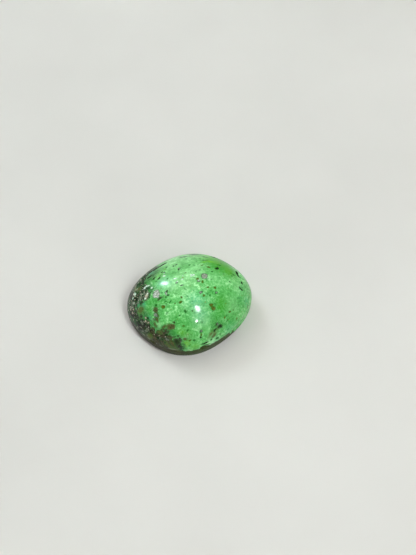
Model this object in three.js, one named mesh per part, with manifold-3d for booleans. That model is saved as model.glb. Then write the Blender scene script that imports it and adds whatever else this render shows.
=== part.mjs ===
// A turquoise cabochon: one loose, hand-cut and polished oval stone, lying on its flat back.
// Millimetres, +Z up. The origin is the centre of the flat back and +X runs along the long axis,
// towards the clean green end. The -X end is the host rock that the turquoise grew in.
import * as THREE from "three";
import { mergeVertices } from "three/addons/utils/BufferGeometryUtils.js";
import Module from "manifold-3d";

const wasm = await Module();
wasm.setup();

// The cut: an oval dome over a girdle, and a short bevel that draws in to the flat back.
const cut = {
  length: 20,
  width: 16.65,
  girdleHeight: 2.5,
  girdleTilt: 0.23, // how much higher the girdle runs at +X than at mid length
  domeRise: 6.4, // girdle to crown
  domeFullness: 2.09, // 2 is a true ellipse in section, more has a squarer shoulder
  domeSpring: 1.77, // under 2 leaves the girdle at a slope, so the edge stays crisp
  bevelInset: 0.065, // share of the radius that the back is smaller than the girdle
};

// How far the hand-ground outline wanders from a true oval, as shares of the radius. The taper
// makes the +X end narrower, and the other lobes go three and four times round the stone.
const wander = {
  taper: 0.032,
  threeLobes: 0.004,
  threeLobesTurned: 0.007,
  fourLobes: 0.01,
  fourLobesTurned: -0.022,
};

// Slow waves that polishing by hand leaves on the dome.
const ripple = { height: 0.02, wavesAlong: 2.2, wavesAcross: 1.9 };

// A pit isn't a clean ellipse: its rim swells and shrinks by this share, three times round.
const pitUnevenness = 0.16;

// Facets round the stone, up the dome, down the bevel, across the back, and on one pit cutter.
const facets = { around: 76, dome: 26, bevel: 4, back: 2, pitAround: 12, pitRings: 8 };

// Pits in the polished dome. x and y are the place seen from above, turn is the heading of the
// long side in degrees from +X, and deep is how far the middle lies under the polish.
const domePits = [
  // Open pits in the green stone.
  { name: "black pit", x: 4.95, y: 1.9, long: 0.7, wide: 0.52, deep: 0.26, turn: 20 },
  { name: "flat pit", x: 5.45, y: 2.6, long: 0.75, wide: 0.36, deep: 0.16, turn: -15 },
  { name: "edge slot", x: 8.25, y: 0.8, long: 1.4, wide: 0.48, deep: 0.28, turn: 95 },
  { name: "edge nick", x: 8.35, y: -0.8, long: 0.5, wide: 0.35, deep: 0.15, turn: 60 },
  { name: "edge slit", x: 7.85, y: -1.75, long: 0.8, wide: 0.35, deep: 0.2, turn: -50 },
  { name: "side hole", x: 2.8, y: -6.7, long: 1.0, wide: 0.65, deep: 0.26, turn: 10 },
  { name: "rust hole", x: 2.3, y: -4.4, long: 0.95, wide: 0.6, deep: 0.14, turn: 105 },
  { name: "grey grain seat", x: 2.5, y: 0.55, long: 1.1, wide: 1.0, deep: 0.1, turn: 0 },
  // The host rock end, where soft grains plucked out under the polish.
  { name: "long cavity", x: -6.4, y: -3.1, long: 2.6, wide: 0.95, deep: 0.34, turn: 78 },
  { name: "granular seat", x: -5.4, y: 0.1, long: 1.4, wide: 1.1, deep: 0.14, turn: 40 },
  { name: "outlined grain", x: -4.0, y: -0.5, long: 0.8, wide: 0.5, deep: 0.14, turn: 70 },
  { name: "rock hollow", x: -8.3, y: 1.6, long: 2.4, wide: 1.5, deep: 0.22, turn: 65 },
  { name: "front hollow", x: -7.7, y: -4.1, long: 2.2, wide: 1.3, deep: 0.24, turn: -50 },
  { name: "back hollow", x: -6.9, y: 4.2, long: 2.8, wide: 1.3, deep: 0.22, turn: 52 },
  { name: "plucked grain", x: -9.1, y: -0.9, long: 0.9, wide: 0.7, deep: 0.24, turn: 0 },
  { name: "seam hollow", x: -4.6, y: 5.9, long: 1.9, wide: 0.7, deep: 0.2, turn: 30 },
  { name: "vein notch", x: -4.8, y: -6.9, long: 1.5, wide: 0.45, deep: 0.16, turn: 95 },
  { name: "dark hollow", x: -4.0, y: -7.1, long: 1.5, wide: 1.0, deep: 0.2, turn: 15 },
  { name: "brown hollow", x: -4.5, y: -5.3, long: 1.2, wide: 0.75, deep: 0.12, turn: 20 },
  // The far side.
  { name: "far pit", x: 0.6, y: 7.2, long: 1.0, wide: 0.5, deep: 0.22, turn: 10 },
  { name: "far slit", x: 5.6, y: 5.2, long: 1.3, wide: 0.4, deep: 0.2, turn: -35 },
];

// Chips knocked out of the girdle. around is the angle from +X and drop is how far the middle of
// the chip lies under the girdle line.
const girdleChips = [
  { name: "front chip", around: 269, drop: 0.1, long: 1.7, wide: 1.0, deep: 0.34 },
  { name: "left chip", around: 214, drop: 0.0, long: 1.2, wide: 0.7, deep: 0.24 },
  { name: "far chip", around: 122, drop: 0.1, long: 1.8, wide: 0.9, deep: 0.3 },
  { name: "right chip", around: 24, drop: 0.0, long: 1.0, wide: 0.6, deep: 0.2 },
];

// Pits in the flat back, well clear of its middle.
const backPits = [
  { name: "back rock pit", x: -5.6, y: 2.1, long: 1.9, wide: 1.2, deep: 0.3, turn: 25 },
  { name: "back rock slit", x: -4.4, y: -3.4, long: 2.1, wide: 0.6, deep: 0.26, turn: -40 },
  { name: "back green pit", x: 4.9, y: 2.6, long: 0.9, wide: 0.7, deep: 0.22, turn: 0 },
];

// The girdle seen from above, for an angle measured from +X.
function girdlePoint(angle) {
  const radius =
    1 +
    wander.threeLobes * Math.cos(3 * angle) +
    wander.threeLobesTurned * Math.sin(3 * angle) +
    wander.fourLobes * Math.cos(4 * angle) +
    wander.fourLobesTurned * Math.sin(4 * angle);
  const taper = 1 - wander.taper * Math.cos(angle);
  const x = (cut.length / 2) * Math.cos(angle) * radius;
  const y = (cut.width / 2) * Math.sin(angle) * radius * taper;
  return new THREE.Vector2(x, y);
}

// The half section, as a lathe profile: x is the share of the plan radius, and y is 0 on the flat
// back, 1 at the girdle and 2 at the crown. It starts and ends on the axis.
function halfSection() {
  const points = [];
  const backRadius = 1 - cut.bevelInset;
  for (let i = 0; i < facets.back; i++) {
    points.push(new THREE.Vector2((backRadius * i) / facets.back, 0));
  }
  for (let i = 0; i < facets.bevel; i++) {
    const sweep = (Math.PI / 2) * (1 - i / facets.bevel);
    const share = 1 - cut.bevelInset * (1 - Math.cos(sweep));
    points.push(new THREE.Vector2(share, 1 - Math.sin(sweep)));
  }
  for (let i = 0; i < facets.dome; i++) {
    const sweep = ((Math.PI / 2) * i) / facets.dome;
    const share = Math.cos(sweep) ** (2 / cut.domeFullness);
    points.push(new THREE.Vector2(share, 1 + Math.sin(sweep) ** (2 / cut.domeSpring)));
  }
  points.push(new THREE.Vector2(0, 2));
  return points;
}

// Height of a point of the blank, from its level in the half section, its share of the plan
// radius and its angle. The tilt of the girdle fades out towards the crown.
function heightOf(level, share, angle) {
  const girdleRise = cut.girdleTilt * Math.cos(angle);
  if (level <= 1) return level * (cut.girdleHeight + girdleRise);
  const along = Math.sin(Math.PI * ripple.wavesAlong * share * Math.cos(angle) + 0.6);
  const across = Math.cos(Math.PI * ripple.wavesAcross * share * Math.sin(angle) - 0.4);
  const dome = (cut.domeRise + ripple.height * along * across) * (level - 1);
  return cut.girdleHeight + girdleRise * share + dome;
}

// The polished blank: a lathe of unit radius drawn out to the oval, then brought to its exact
// length and width about the origin.
function blankGeometry() {
  const lathe = new THREE.LatheGeometry(halfSection(), facets.around);
  const position = lathe.attributes.position;
  for (let i = 0; i < position.count; i++) {
    const share = Math.hypot(position.getX(i), position.getZ(i));
    const angle = Math.atan2(position.getX(i), position.getZ(i));
    const level = position.getY(i);
    const rim = girdlePoint(angle);
    position.setXYZ(i, rim.x * share, rim.y * share, heightOf(level, share, angle));
  }
  lathe.computeBoundingBox();
  const size = lathe.boundingBox.getSize(new THREE.Vector3());
  const middle = lathe.boundingBox.getCenter(new THREE.Vector3());
  lathe.translate(-middle.x, -middle.y, 0);
  lathe.scale(cut.length / size.x, cut.width / size.y, 1);
  lathe.deleteAttribute("normal");
  lathe.deleteAttribute("uv");
  return mergeVertices(lathe, 1e-4);
}

// A closed geometry as a solid that can be cut, and back again.
function toSolid(geometry) {
  const mesh = new wasm.Mesh({
    numProp: 3,
    vertProperties: new Float32Array(geometry.attributes.position.array),
    triVerts: new Uint32Array(geometry.index.array),
  });
  return new wasm.Manifold(mesh);
}

function toGeometry(solid) {
  const mesh = solid.getMesh();
  const geometry = new THREE.BufferGeometry();
  geometry.setAttribute("position", new THREE.BufferAttribute(new Float32Array(mesh.vertProperties), 3));
  geometry.setIndex(new THREE.BufferAttribute(new Uint32Array(mesh.triVerts), 1));
  geometry.computeVertexNormals();
  return geometry;
}

// Where a line from outside meets the blank, and the way the surface faces there.
function touchdown(blankMesh, from, towards) {
  const ray = new THREE.Raycaster(from, towards.clone().normalize());
  const hit = ray.intersectObject(blankMesh)[0];
  return { point: hit.point, normal: hit.face.normal };
}

// A unit ball whose waist wanders, so that no two pits are alike.
function pitBall(pit) {
  const ball = new THREE.SphereGeometry(1, facets.pitAround, facets.pitRings);
  ball.deleteAttribute("normal");
  ball.deleteAttribute("uv");
  const phase = Math.PI * (pit.long + pit.wide);
  const position = ball.attributes.position;
  for (let i = 0; i < position.count; i++) {
    const around = Math.atan2(position.getY(i), position.getX(i));
    const swell = 1 + pitUnevenness * Math.sin(3 * around + phase);
    position.setXYZ(i, position.getX(i) * swell, position.getY(i) * swell, position.getZ(i));
  }
  return ball;
}

// A pit's ball set in the surface, with its long side along the heading and its depth along the
// surface's normal.
function pitCutter(pit, seat, heading) {
  const across = new THREE.Vector3().crossVectors(seat.normal, heading).normalize();
  const along = new THREE.Vector3().crossVectors(across, seat.normal);
  const pose = new THREE.Matrix4().makeBasis(
    along.multiplyScalar(pit.long / 2),
    across.multiplyScalar(pit.wide / 2),
    seat.normal.clone().multiplyScalar(pit.deep),
  );
  pose.setPosition(seat.point);
  return toSolid(mergeVertices(pitBall(pit).applyMatrix4(pose), 1e-5));
}

function headingOf(pit) {
  const turn = THREE.MathUtils.degToRad(pit.turn);
  return new THREE.Vector3(Math.cos(turn), Math.sin(turn), 0);
}

function domePitCutter(blankMesh, pit) {
  const above = new THREE.Vector3(pit.x, pit.y, cut.length);
  const seat = touchdown(blankMesh, above, new THREE.Vector3(0, 0, -1));
  return pitCutter(pit, seat, headingOf(pit));
}

function backPitCutter(blankMesh, pit) {
  const below = new THREE.Vector3(pit.x, pit.y, -cut.length);
  const seat = touchdown(blankMesh, below, new THREE.Vector3(0, 0, 1));
  return pitCutter(pit, seat, headingOf(pit));
}

function girdleChipCutter(blankMesh, chip) {
  const angle = THREE.MathUtils.degToRad(chip.around);
  const outward = new THREE.Vector3(Math.cos(angle), Math.sin(angle), 0);
  const height = cut.girdleHeight + cut.girdleTilt * Math.cos(angle) - chip.drop;
  const outside = outward.clone().multiplyScalar(cut.length).setZ(height);
  const seat = touchdown(blankMesh, outside, outward.clone().negate());
  const alongGirdle = new THREE.Vector3(-outward.y, outward.x, 0);
  return pitCutter(chip, { point: seat.point, normal: outward }, alongGirdle);
}

function stoneGeometry() {
  const blank = blankGeometry();
  const blankMesh = new THREE.Mesh(blank);
  const cutters = [
    ...domePits.map((pit) => domePitCutter(blankMesh, pit)),
    ...backPits.map((pit) => backPitCutter(blankMesh, pit)),
    ...girdleChips.map((chip) => girdleChipCutter(blankMesh, chip)),
  ];
  const solid = cutters.reduce((stone, cutter) => stone.subtract(cutter), toSolid(blank));
  return toGeometry(solid);
}

const turquoise = new THREE.MeshStandardMaterial({ name: "polished turquoise" });
turquoise.color = new THREE.Color(0x72c47e);
turquoise.roughness = 0.14;
turquoise.metalness = 0;

const stone = new THREE.Mesh(stoneGeometry(), turquoise);
stone.name = "turquoise_cabochon";

const part = new THREE.Group();
part.add(stone);

export default part;
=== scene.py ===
# A polished green turquoise with dark host rock at one end, lying on a pale studio floor.
import math

import bpy
import numpy as np
from mathutils import Matrix, Vector, noise
from mathutils.bvhtree import BVHTree


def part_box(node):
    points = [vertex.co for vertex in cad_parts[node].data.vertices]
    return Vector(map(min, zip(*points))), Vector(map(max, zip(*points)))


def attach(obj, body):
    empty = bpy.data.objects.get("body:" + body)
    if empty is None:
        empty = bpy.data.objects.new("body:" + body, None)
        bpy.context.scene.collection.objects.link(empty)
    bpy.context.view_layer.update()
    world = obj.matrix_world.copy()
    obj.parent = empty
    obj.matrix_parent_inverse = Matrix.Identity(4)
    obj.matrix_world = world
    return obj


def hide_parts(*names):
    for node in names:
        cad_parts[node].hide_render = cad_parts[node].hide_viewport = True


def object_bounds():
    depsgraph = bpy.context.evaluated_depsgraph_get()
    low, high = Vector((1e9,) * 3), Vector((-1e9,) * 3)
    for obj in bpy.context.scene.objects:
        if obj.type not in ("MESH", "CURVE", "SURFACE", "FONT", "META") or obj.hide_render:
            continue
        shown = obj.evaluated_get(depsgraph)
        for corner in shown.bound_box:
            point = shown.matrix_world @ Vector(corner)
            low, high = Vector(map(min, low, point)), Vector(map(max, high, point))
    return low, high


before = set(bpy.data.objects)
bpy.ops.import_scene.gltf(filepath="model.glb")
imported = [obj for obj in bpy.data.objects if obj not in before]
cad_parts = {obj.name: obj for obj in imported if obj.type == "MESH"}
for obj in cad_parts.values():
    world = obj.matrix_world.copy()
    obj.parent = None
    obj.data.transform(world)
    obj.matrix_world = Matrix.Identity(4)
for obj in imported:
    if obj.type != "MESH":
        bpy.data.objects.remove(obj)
cadLow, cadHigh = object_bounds()
stoneNode = "turquoise_cabochon"
mm = 0.001


# Small helpers. Most add a node to a tree and give back the output that feeds the next one.

def feed(tree, socket, value):
    if isinstance(value, bpy.types.NodeSocket):
        tree.links.new(value, socket)
    else:
        socket.default_value = value


def addNode(tree, kind, inputs, **settings):
    # Adds a node, sets it up, and fills the inputs given by name or by number.
    node = tree.nodes.new(kind)
    for name, value in settings.items():
        setattr(node, name, value)
    for name, value in inputs.items():
        feed(tree, node.inputs[name], value)
    return node


def maths(tree, operation, *values):
    return addNode(tree, "ShaderNodeMath", dict(enumerate(values)), operation=operation).outputs[0]


def chain(tree, operation, values):
    total, *others = values
    for value in others:
        total = maths(tree, operation, total, value)
    return total


def plus(tree, *values):
    return chain(tree, "ADD", values)


def minus(tree, *values):
    return chain(tree, "SUBTRACT", values)


def times(tree, *values):
    return chain(tree, "MULTIPLY", values)


def greatest(tree, *values):
    return chain(tree, "MAXIMUM", values)


def joinVector(tree, *values):
    return addNode(tree, "ShaderNodeCombineXYZ", dict(enumerate(values))).outputs[0]


def splitVector(tree, vector):
    return addNode(tree, "ShaderNodeSeparateXYZ", {0: vector}).outputs


def linearColour(hexText):
    channels = [int(hexText[i:i + 2], 16) / 255 for i in (1, 3, 5)]
    linear = [c / 12.92 if c <= 0.04045 else ((c + 0.055) / 1.055) ** 2.4 for c in channels]
    return (*linear, 1.0)


def newTree(name, first, values):
    # Starts a tree whose inputs are the first ones, one for each value and one for the material.
    tree = bpy.data.node_groups.new(name, "GeometryNodeTree")
    kinds = {label: "Int" if isinstance(value, int) else "Float" for label, value in values.items()}
    for label, kind in (first | kinds | {"Material": "Material"}).items():
        tree.interface.new_socket(name=label, in_out="INPUT", socket_type="NodeSocket" + kind)
    tree.interface.new_socket(name="Geometry", in_out="OUTPUT", socket_type="NodeSocketGeometry")
    return tree, tree.nodes.new("NodeGroupInput").outputs


def finishTree(tree, geometry, material):
    # Makes copies real, paints them and ends the tree.
    realize = addNode(tree, "GeometryNodeRealizeInstances", {0: geometry})
    paint = addNode(tree, "GeometryNodeSetMaterial", {"Geometry": realize.outputs[0], "Material": material})
    addNode(tree, "NodeGroupOutput", {0: paint.outputs[0]})
    return tree


def addToScene(name, data):
    piece = bpy.data.objects.new(name, data)
    bpy.context.scene.collection.objects.link(piece)
    return piece


def runTree(tree, values, name, source=None):
    # Runs a node tree once and keeps its result as a plain mesh object.
    carrierMesh = source.data.copy() if source else bpy.data.meshes.new("carrier")
    carrier = addToScene("carrier", carrierMesh)
    modifier = carrier.modifiers.new("grow", "NODES")
    modifier.node_group = tree
    for socket in tree.interface.items_tree:
        if socket.in_out == "INPUT" and socket.name in values:
            modifier[socket.identifier] = values[socket.name]
    graph = bpy.context.evaluated_depsgraph_get()
    mesh = bpy.data.meshes.new_from_object(carrier.evaluated_get(graph))
    bpy.data.objects.remove(carrier)
    bpy.data.meshes.remove(carrierMesh)
    mesh.name = name
    return addToScene(name, mesh)


def inMetres(values, lengths):
    # Only the values named as lengths are scaled.
    return {name: value * mm if name in lengths else value for name, value in values.items()}


# The cut of the stone. Lengths are in millimetres, and its length and width come from the frame.

stoneCut = {
    "Girdle Height": 2.5,
    "Girdle Tilt": 0.23,       # how much higher the girdle runs at +X than at mid length
    "Dome Rise": 6.4,
    "Dome Fullness": 2.09,     # 2 is a true ellipse in section
    "Dome Spring": 1.77,       # under 2 keeps the girdle crisp
    "Bevel Inset": 0.065,
    "Taper": 0.032,            # narrower at +X
    "Three Lobes": 0.004,
    "Three Lobes Turned": 0.007,
    "Four Lobes": 0.01,
    "Four Lobes Turned": -0.022,
    "Ripple Height": 0.02,     # slow waves left by polishing by hand
    "Ripples Along": 2.2,
    "Ripples Along Start": 0.6,
    "Ripples Across": 1.9,
    "Ripples Across Start": -0.4,
    "Weld Distance": 0.001,
    "Steps Around": 540,
    "Back Rows": 22,
    "Bevel Rows": 26,
    "Dome Rows": 134,
}
stoneLengths = ("Girdle Height", "Girdle Tilt", "Dome Rise", "Ripple Height", "Weld Distance")


def stoneRadius(tree, inputs, angle):
    lobes = (
        ("Three Lobes", "COSINE", 3),
        ("Three Lobes Turned", "SINE", 3),
        ("Four Lobes", "COSINE", 4),
        ("Four Lobes Turned", "SINE", 4),
    )
    radius = 1.0
    for name, wave, count in lobes:
        turned = maths(tree, wave, times(tree, angle, count))
        radius = plus(tree, radius, times(tree, inputs[name], turned))
    return radius


def rowShare(tree, row, start, count):
    # 0 before the rows of one stretch, 1 after them
    share = maths(tree, "DIVIDE", minus(tree, row, start), count)
    return maths(tree, "MINIMUM", maths(tree, "MAXIMUM", share, 0.0), 1.0)


def buildStoneTree():
    # A grid is rolled up: X goes round the stone, and Y goes out over the back, up and in to the crown.
    tree, inputs = newTree("cabochon cut", {"Length": "Float", "Width": "Float"}, stoneCut)
    girdleRow = plus(tree, inputs["Back Rows"], inputs["Bevel Rows"])
    allRows = plus(tree, girdleRow, inputs["Dome Rows"])
    grid = addNode(tree, "GeometryNodeMeshGrid", {
        "Size X": 1.0,
        "Size Y": 1.0,
        "Vertices X": plus(tree, inputs["Steps Around"], 1),
        "Vertices Y": plus(tree, allRows, 1),
    })
    gridPlace = splitVector(tree, addNode(tree, "GeometryNodeInputPosition", {}).outputs[0])
    angle = times(tree, gridPlace["X"], math.tau)
    row = times(tree, plus(tree, gridPlace["Y"], 0.5), allRows)

    acrossBack = rowShare(tree, row, 0, inputs["Back Rows"])
    upBevel = rowShare(tree, row, inputs["Back Rows"], inputs["Bevel Rows"])
    upDome = rowShare(tree, row, girdleRow, inputs["Dome Rows"])
    quarter = math.pi / 2
    bevelSweep = times(tree, minus(tree, 1.0, upBevel), quarter)
    domeSweep = times(tree, upDome, quarter)
    pullIn = minus(tree, 1.0, maths(tree, "COSINE", bevelSweep))
    bevelShare = minus(tree, 1.0, times(tree, inputs["Bevel Inset"], pullIn))
    fullness = maths(tree, "DIVIDE", 2.0, inputs["Dome Fullness"])
    domeShare = maths(tree, "POWER", maths(tree, "COSINE", domeSweep), fullness)
    share = times(tree, acrossBack, bevelShare, domeShare)

    cosine = maths(tree, "COSINE", angle)
    sine = maths(tree, "SINE", angle)
    reach = times(tree, stoneRadius(tree, inputs, angle), share, 0.5)
    taper = minus(tree, 1.0, times(tree, inputs["Taper"], cosine))
    x = times(tree, inputs["Length"], cosine, reach)
    y = times(tree, inputs["Width"], sine, reach, taper)

    tilt = times(tree, inputs["Girdle Tilt"], cosine, domeShare)
    bevelLevel = minus(tree, 1.0, maths(tree, "SINE", bevelSweep))
    girdle = times(tree, bevelLevel, plus(tree, inputs["Girdle Height"], tilt))
    spring = maths(tree, "DIVIDE", 2.0, inputs["Dome Spring"])
    domeLevel = maths(tree, "POWER", maths(tree, "SINE", domeSweep), spring)
    along = times(tree, share, cosine, inputs["Ripples Along"], math.pi)
    along = maths(tree, "SINE", plus(tree, along, inputs["Ripples Along Start"]))
    across = times(tree, share, sine, inputs["Ripples Across"], math.pi)
    across = maths(tree, "COSINE", plus(tree, across, inputs["Ripples Across Start"]))
    ripple = times(tree, inputs["Ripple Height"], times(tree, along, across))
    dome = times(tree, domeLevel, plus(tree, inputs["Dome Rise"], ripple))
    z = plus(tree, girdle, dome)

    rolled = {"Geometry": grid.outputs["Mesh"], "Position": joinVector(tree, x, y, z)}
    roll = addNode(tree, "GeometryNodeSetPosition", rolled)
    welded = {"Geometry": roll.outputs[0], "Distance": inputs["Weld Distance"]}
    weld = addNode(tree, "GeometryNodeMergeByDistance", welded)
    return finishTree(tree, weld.outputs[0], inputs["Material"])


# What lies where on the stone, in millimetres: x and y as seen from above, the length and width of
# the mark, and the heading of its long side in degrees from +X. Pits have their depth as well.

pits = [
    (4.95, 1.9, 0.7, 0.52, 20, 0.26),
    (5.45, 2.6, 0.75, 0.36, -15, 0.16),
    (8.2, 0.95, 1.55, 0.8, 96, 0.3),
    (8.35, -0.8, 0.5, 0.35, 60, 0.15),
    (7.85, -1.75, 0.8, 0.35, -50, 0.2),
    (2.8, -6.7, 1.0, 0.65, 10, 0.16),
    (2.3, -4.4, 0.95, 0.6, 105, 0.14),
    (2.5, 0.55, 1.1, 1.0, 0, 0.1),
    (-6.4, -3.1, 2.6, 0.95, 78, 0.34),
    (-5.4, 0.1, 1.4, 1.1, 40, 0.14),
    (-4.0, -0.5, 0.8, 0.5, 70, 0.14),
    (-8.3, 1.6, 2.4, 1.5, 65, 0.22),
    (-7.7, -4.1, 2.2, 1.3, -50, 0.24),
    (-6.9, 4.2, 2.8, 1.3, 52, 0.22),
    (-9.1, -0.9, 0.9, 0.7, 0, 0.24),
    (-4.6, 5.9, 1.9, 0.7, 30, 0.2),
    (-4.8, -6.9, 1.5, 0.45, 95, 0.16),
    (-4.1, -7.1, 1.5, 1.0, 15, 0.12),
    (-4.5, -5.3, 1.2, 0.75, 20, 0.12),
    (0.6, 7.2, 1.0, 0.5, 10, 0.22),
    (5.6, 5.2, 1.3, 0.4, -35, 0.2),
]
girdleChips = [  # degrees round from +X, drop below the girdle line, length, height and depth
    (269, 0.1, 1.7, 1.0, 0.34),
    (214, 0.0, 1.2, 0.7, 0.24),
    (122, 0.1, 1.8, 0.9, 0.3),
    (24, 0.0, 1.0, 0.6, 0.2),
]
backPits = [
    (-5.6, 2.1, 1.9, 1.2, 25, 0.3),
    (-4.4, -3.4, 2.1, 0.6, -40, 0.26),
    (4.9, 2.6, 0.9, 0.7, 0, 0.22),
]

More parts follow.
